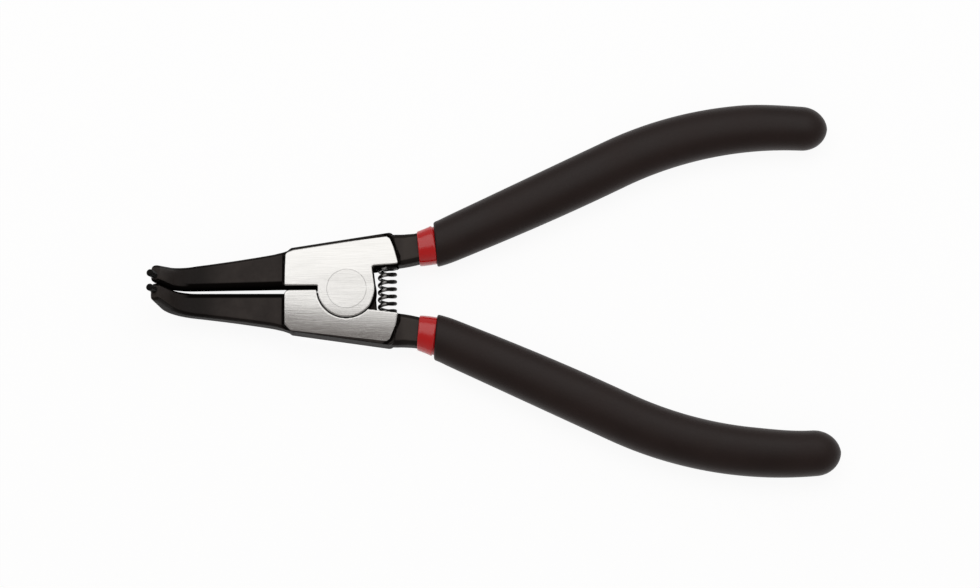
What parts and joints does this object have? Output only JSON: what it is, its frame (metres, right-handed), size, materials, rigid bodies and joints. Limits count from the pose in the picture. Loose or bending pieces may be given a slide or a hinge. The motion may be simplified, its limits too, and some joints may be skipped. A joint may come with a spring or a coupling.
{
  "type": "circlip pliers",
  "caption": "Bent-nose circlip pliers for external rings: lapped steel levers on a flush rivet, coil return spring, tip pins and double-dipped handles.",
  "frame": {"origin": "on the pivot axis, in the plane of the head's back face", "axes": "+X from the pivot towards the handles, +Y towards the lever with the front lap disc, +Z out of the front face, the way the noses bend"},
  "size_m": [0.1741, 0.098, 0.02],
  "materials": {
    "black_steel": "black oxide on the forging, with the flat faces of the joint head ground and polished bright",
    "polished_steel": "ground flush with the head and polished",
    "spring_steel": "dark drawn spring wire",
    "pin_steel": "hardened, black oxide",
    "red_vinyl": "glossy dipped vinyl",
    "black_vinyl": "satin dipped vinyl"
  },
  "bodies": {
    "right_side": {"right_lever": "black_steel", "pivot_rivet": "polished_steel", "return_spring": "spring_steel", "right_tip_pin": "pin_steel", "right_sleeve": "red_vinyl", "right_grip": "black_vinyl"},
    "left_side": {"left_lever": "black_steel", "left_tip_pin": "pin_steel", "left_sleeve": "red_vinyl", "left_grip": "black_vinyl"}
  },
  "joints": [
    {"name": "pivot", "type": "hinge", "parent": "right_side", "child": "left_side", "pos_m": [0, 0, 0], "axis": [0, 0, 1], "range_deg": [0, 22], "stiffness_Nm_per_rad": 0.8, "springref_deg": -17.19, "deforming": ["return_spring"]}
  ]
}
